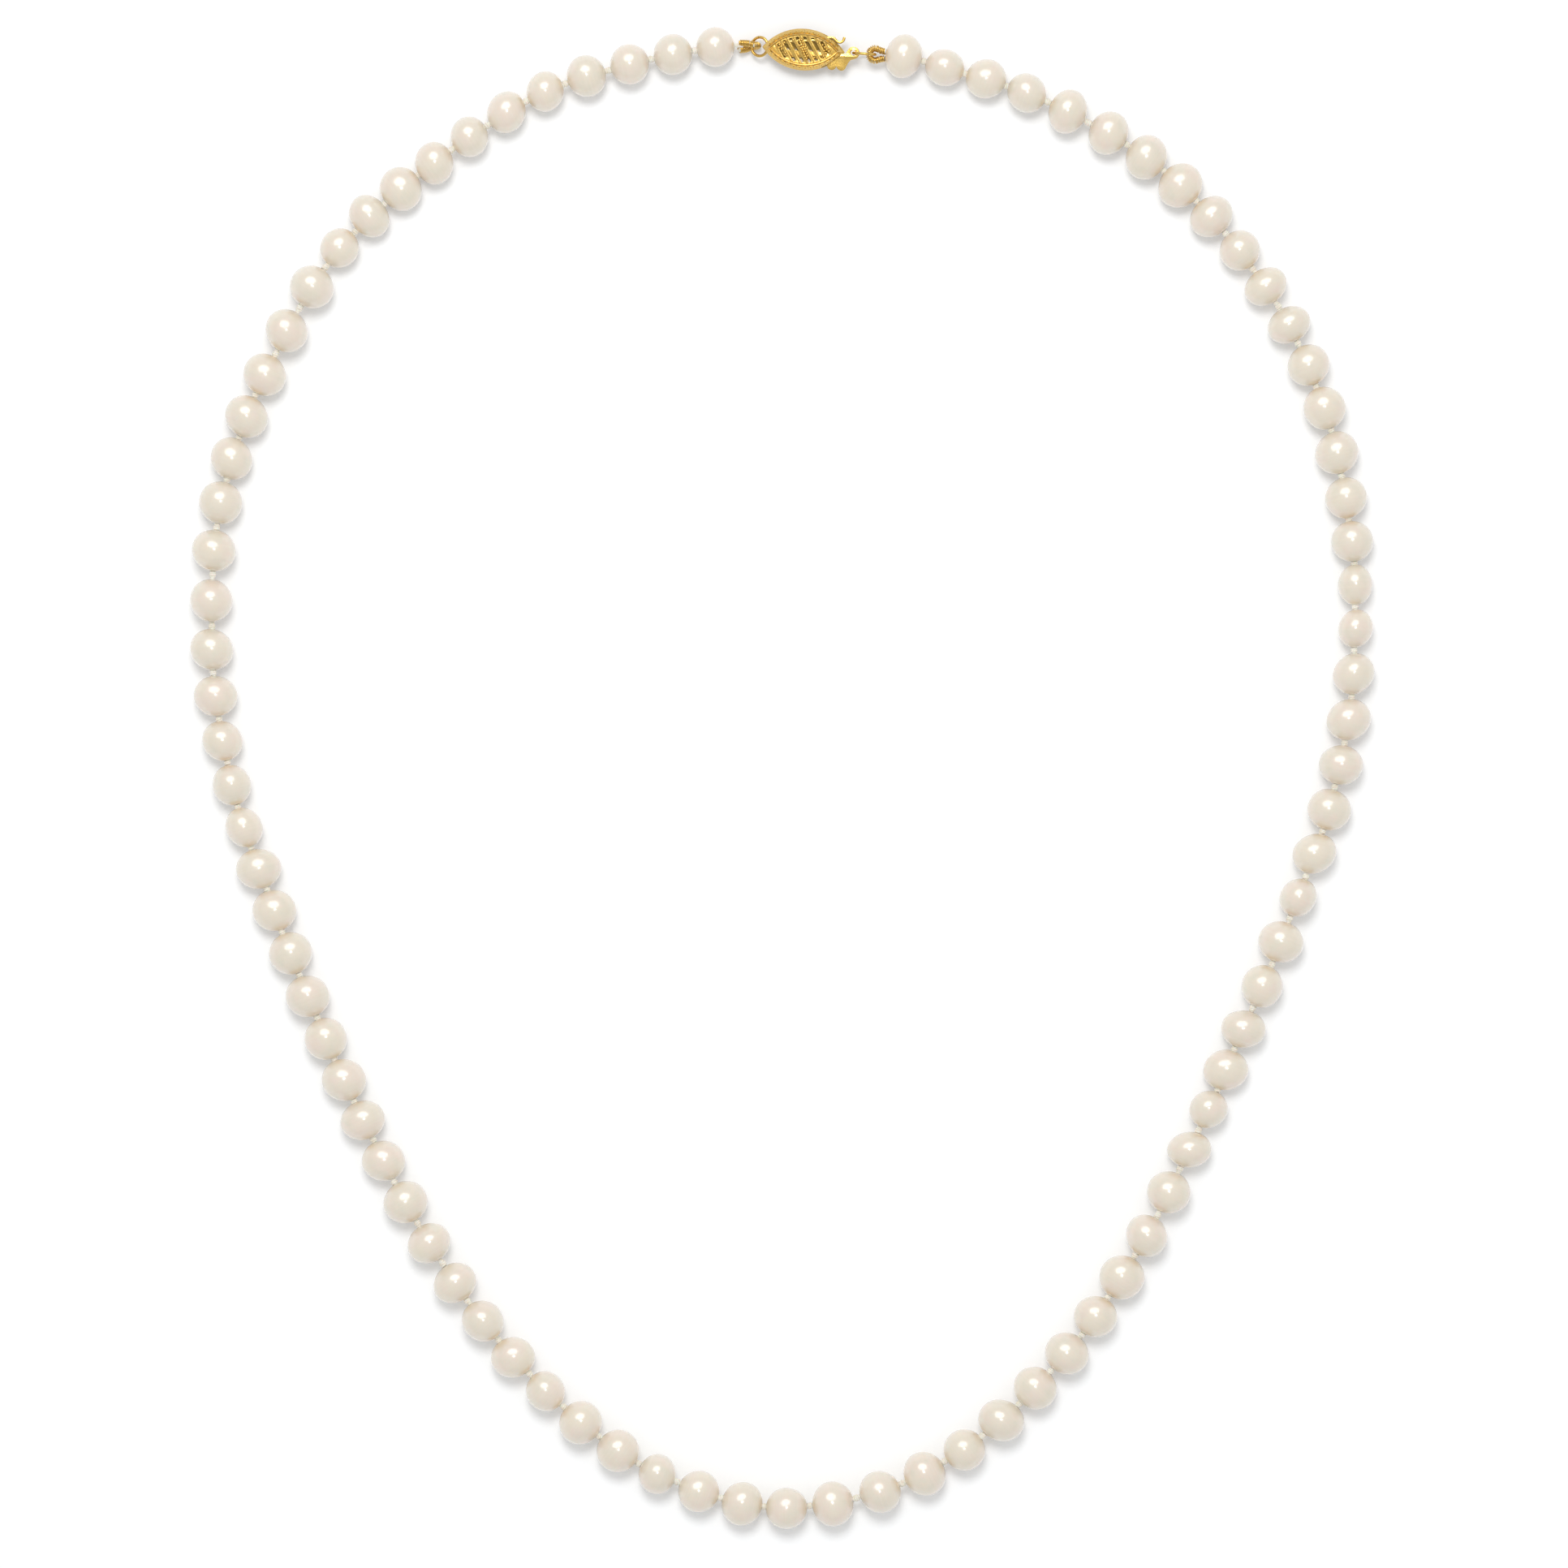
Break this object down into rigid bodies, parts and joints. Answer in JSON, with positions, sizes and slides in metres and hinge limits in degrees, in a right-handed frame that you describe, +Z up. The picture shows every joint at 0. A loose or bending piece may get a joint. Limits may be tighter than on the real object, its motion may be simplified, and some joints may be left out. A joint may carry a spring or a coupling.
{
  "type": "pearl necklace",
  "caption": "Knotted strand of off-round cream pearls that closes in a loop with a gold filigree fish-hook clasp.",
  "frame": {"origin": "on the table under the middle of the closed loop's bounding box", "axes": "+Z up from the table the necklace lies on, +Y from the front pearl towards the clasp, +X towards the hook's side"},
  "size_m": [0.1481, 0.1872, 0.006],
  "materials": {
    "pearl": "polished",
    "gold": "satin",
    "silk": "matte"
  },
  "bodies": {
    "front": {"pearl_front_centre": "pearl"},
    "right_01": {"pearls_right_01": "pearl", "pearls_right_02": "pearl"},
    "right_03": {"pearls_right_03": "pearl", "pearls_right_04": "pearl"},
    "right_05": {"pearls_right_05": "pearl", "pearls_right_06": "pearl"},
    "right_07": {"pearls_right_07": "pearl", "pearls_right_08": "pearl"},
    "right_09": {"pearls_right_09": "pearl", "pearls_right_10": "pearl", "pearls_right_11": "pearl", "pearls_right_12": "pearl"},
    "right_13": {"pearls_right_13": "pearl", "pearls_right_14": "pearl"},
    "right_15": {"pearls_right_15": "pearl", "pearls_right_16": "pearl"},
    "right_17": {"pearls_right_17": "pearl", "pearls_right_18": "pearl"},
    "right_19": {"pearls_right_19": "pearl", "pearls_right_20": "pearl"},
    "right_21": {"pearls_right_21": "pearl", "gimp_loop_right": "gold"},
    "jump_ring": {"jump_ring": "gold"},
    "hook": {"hook_plate": "gold"},
    "spring_leaf": {"hook_spring_leaf": "gold"},
    "left_01": {"pearls_left_01": "pearl", "pearls_left_02": "pearl"},
    "left_03": {"pearls_left_03": "pearl", "pearls_left_04": "pearl"},
    "left_05": {"pearls_left_05": "pearl", "pearls_left_06": "pearl"},
    "left_07": {"pearls_left_07": "pearl", "pearls_left_08": "pearl"},
    "left_09": {"pearls_left_09": "pearl", "pearls_left_10": "pearl"},
    "left_11": {"pearls_left_11": "pearl", "pearls_left_12": "pearl", "pearls_left_13": "pearl", "pearls_left_14": "pearl"},
    "left_15": {"pearls_left_15": "pearl", "pearls_left_16": "pearl"},
    "left_17": {"pearls_left_17": "pearl", "pearls_left_18": "pearl"},
    "left_19": {"pearls_left_19": "pearl", "pearls_left_20": "pearl"},
    "left_21": {"pearls_left_21": "pearl", "pearls_left_22": "pearl", "end_thread_left": "silk", "gimp_loop_left": "gold"},
    "end_ring": {"end_ring": "gold"},
    "case": {"case_filigree_front": "gold", "case_back": "gold", "case_cross_bar": "gold"}
  },
  "joints": [
    {"name": "strand_opening", "type": "hinge", "parent": "front", "child": "right_01", "pos_m": [0.00337, -0.09106, 0.00271], "axis": [0, 0, -1], "range_deg": [0, 9.6]},
    {"name": "knot_right_03", "type": "hinge", "parent": "right_01", "child": "right_03", "pos_m": [0.02503, -0.08195, 0.00293], "axis": [0, 0, -1], "range_deg": [0, 8.1]},
    {"name": "knot_right_05", "type": "hinge", "parent": "right_03", "child": "right_05", "pos_m": [0.04072, -0.06464, 0.00266], "axis": [0, 0, -1], "range_deg": [0, 6.1]},
    {"name": "knot_right_07", "type": "hinge", "parent": "right_05", "child": "right_07", "pos_m": [0.0519, -0.04364, 0.00264], "axis": [0, 0, -1], "range_deg": [0, 4]},
    {"name": "knot_right_09", "type": "hinge", "parent": "right_07", "child": "right_09", "pos_m": [0.06091, -0.02309, 0.00285], "axis": [0, 0, -1], "range_deg": [0, 2]},
    {"name": "knot_right_13", "type": "hinge", "parent": "right_09", "child": "right_13", "pos_m": [0.07144, 0.02148, 0.00246], "axis": [0, 0, -1], "range_deg": [-2.1, 0]},
    {"name": "knot_right_15", "type": "hinge", "parent": "right_13", "child": "right_15", "pos_m": [0.06842, 0.04348, 0.00282], "axis": [0, 0, -1], "range_deg": [-3.7, 0]},
    {"name": "knot_right_17", "type": "hinge", "parent": "right_15", "child": "right_17", "pos_m": [0.05866, 0.0637, 0.00262], "axis": [0, 0, -1], "range_deg": [-4.8, 0]},
    {"name": "knot_right_19", "type": "hinge", "parent": "right_17", "child": "right_19", "pos_m": [0.04301, 0.07915, 0.00272], "axis": [0, 0, -1], "range_deg": [-5.3, 0]},
    {"name": "knot_right_21", "type": "hinge", "parent": "right_19", "child": "right_21", "pos_m": [0.02271, 0.08789, 0.00248], "axis": [0, 0, -1], "range_deg": [-5.1, 0]},
    {"name": "jump_ring_swing", "type": "hinge", "parent": "right_21", "child": "jump_ring", "pos_m": [0.01149, 0.09023, 0.0025], "axis": [0, 0, -1], "range_deg": [-4.8, 0]},
    {"name": "hook_swing", "type": "hinge", "parent": "jump_ring", "child": "hook", "pos_m": [0.00874, 0.09042, 0.0025], "axis": [0, 0, -1], "range_deg": [-4.6, 0]},
    {"name": "knot_left_01", "type": "hinge", "parent": "front", "child": "left_01", "pos_m": [-0.00245, -0.09108, 0.00262], "axis": [0, 0, 1], "range_deg": [0, 7.1]},
    {"name": "knot_left_03", "type": "hinge", "parent": "left_01", "child": "left_03", "pos_m": [-0.02306, -0.08214, 0.00289], "axis": [0, 0, 1], "range_deg": [0, 6.9]},
    {"name": "knot_left_05", "type": "hinge", "parent": "left_03", "child": "left_05", "pos_m": [-0.03929, -0.06527, 0.00282], "axis": [0, 0, 1], "range_deg": [0, 6]},
    {"name": "knot_left_07", "type": "hinge", "parent": "left_05", "child": "left_07", "pos_m": [-0.05117, -0.04508, 0.00267], "axis": [0, 0, 1], "range_deg": [0, 4.8]},
    {"name": "knot_left_09", "type": "hinge", "parent": "left_07", "child": "left_09", "pos_m": [-0.06036, -0.0244, 0.0027], "axis": [0, 0, 1], "range_deg": [0, 3.4]},
    {"name": "knot_left_11", "type": "hinge", "parent": "left_09", "child": "left_11", "pos_m": [-0.06811, -0.00349, 0.0027], "axis": [0, 0, 1], "range_deg": [0, 2]},
    {"name": "knot_left_15", "type": "hinge", "parent": "left_11", "child": "left_15", "pos_m": [-0.06796, 0.04256, 0.00265], "axis": [0, 0, 1], "range_deg": [-1.7, 0]},
    {"name": "knot_left_17", "type": "hinge", "parent": "left_15", "child": "left_17", "pos_m": [-0.0571, 0.06411, 0.00252], "axis": [0, 0, 1], "range_deg": [-3.6, 0]},
    {"name": "knot_left_19", "type": "hinge", "parent": "left_17", "child": "left_19", "pos_m": [-0.04135, 0.07844, 0.00272], "axis": [0, 0, 1], "range_deg": [-5, 0]},
    {"name": "knot_left_21", "type": "hinge", "parent": "left_19", "child": "left_21", "pos_m": [-0.02181, 0.08839, 0.0026], "axis": [0, 0, 1], "range_deg": [-6.2, 0]},
    {"name": "end_ring_swing", "type": "hinge", "parent": "left_21", "child": "end_ring", "pos_m": [-0.00393, 0.09138, 0.00133], "axis": [0, 0, 1], "range_deg": [-6.8, 0]},
    {"name": "case_swing", "type": "hinge", "parent": "end_ring", "child": "case", "pos_m": [-0.00192, 0.09114, 0.0025], "axis": [0, 0, 1], "range_deg": [-6.9, 0]},
    {"name": "leaf_press", "type": "hinge", "parent": "hook", "child": "spring_leaf", "pos_m": [-0.00051, 0.09115, 0.00251], "axis": [-0.0059, -0.087, 0.9962], "range_deg": [-6, 0], "stiffness_Nm_per_rad": 0.02}
  ],
  "couplings": [
    {"joint": "knot_right_03", "follows": "strand_opening", "ratio": 0.83241},
    {"joint": "knot_right_05", "follows": "strand_opening", "ratio": 0.62176},
    {"joint": "knot_right_07", "follows": "strand_opening", "ratio": 0.40256},
    {"joint": "knot_right_09", "follows": "strand_opening", "ratio": 0.19691},
    {"joint": "knot_right_13", "follows": "strand_opening", "ratio": -0.20746},
    {"joint": "knot_right_15", "follows": "strand_opening", "ratio": -0.36913},
    {"joint": "knot_right_17", "follows": "strand_opening", "ratio": -0.48543},
    {"joint": "knot_right_19", "follows": "strand_opening", "ratio": -0.53653},
    {"joint": "knot_right_21", "follows": "strand_opening", "ratio": -0.51257},
    {"joint": "jump_ring_swing", "follows": "strand_opening", "ratio": -0.47944},
    {"joint": "hook_swing", "follows": "strand_opening", "ratio": -0.46823},
    {"joint": "knot_left_01", "follows": "strand_opening", "ratio": 0.72168},
    {"joint": "knot_left_03", "follows": "strand_opening", "ratio": 0.70173},
    {"joint": "knot_left_05", "follows": "strand_opening", "ratio": 0.60945},
    {"joint": "knot_left_07", "follows": "strand_opening", "ratio": 0.48073},
    {"joint": "knot_left_09", "follows": "strand_opening", "ratio": 0.3417},
    {"joint": "knot_left_11", "follows": "strand_opening", "ratio": 0.19739},
    {"joint": "knot_left_15", "follows": "strand_opening", "ratio": -0.16199},
    {"joint": "knot_left_17", "follows": "strand_opening", "ratio": -0.35622},
    {"joint": "knot_left_19", "follows": "strand_opening", "ratio": -0.50602},
    {"joint": "knot_left_21", "follows": "strand_opening", "ratio": -0.63082},
    {"joint": "end_ring_swing", "follows": "strand_opening", "ratio": -0.69732},
    {"joint": "case_swing", "follows": "strand_opening", "ratio": -0.70032}
  ]
}
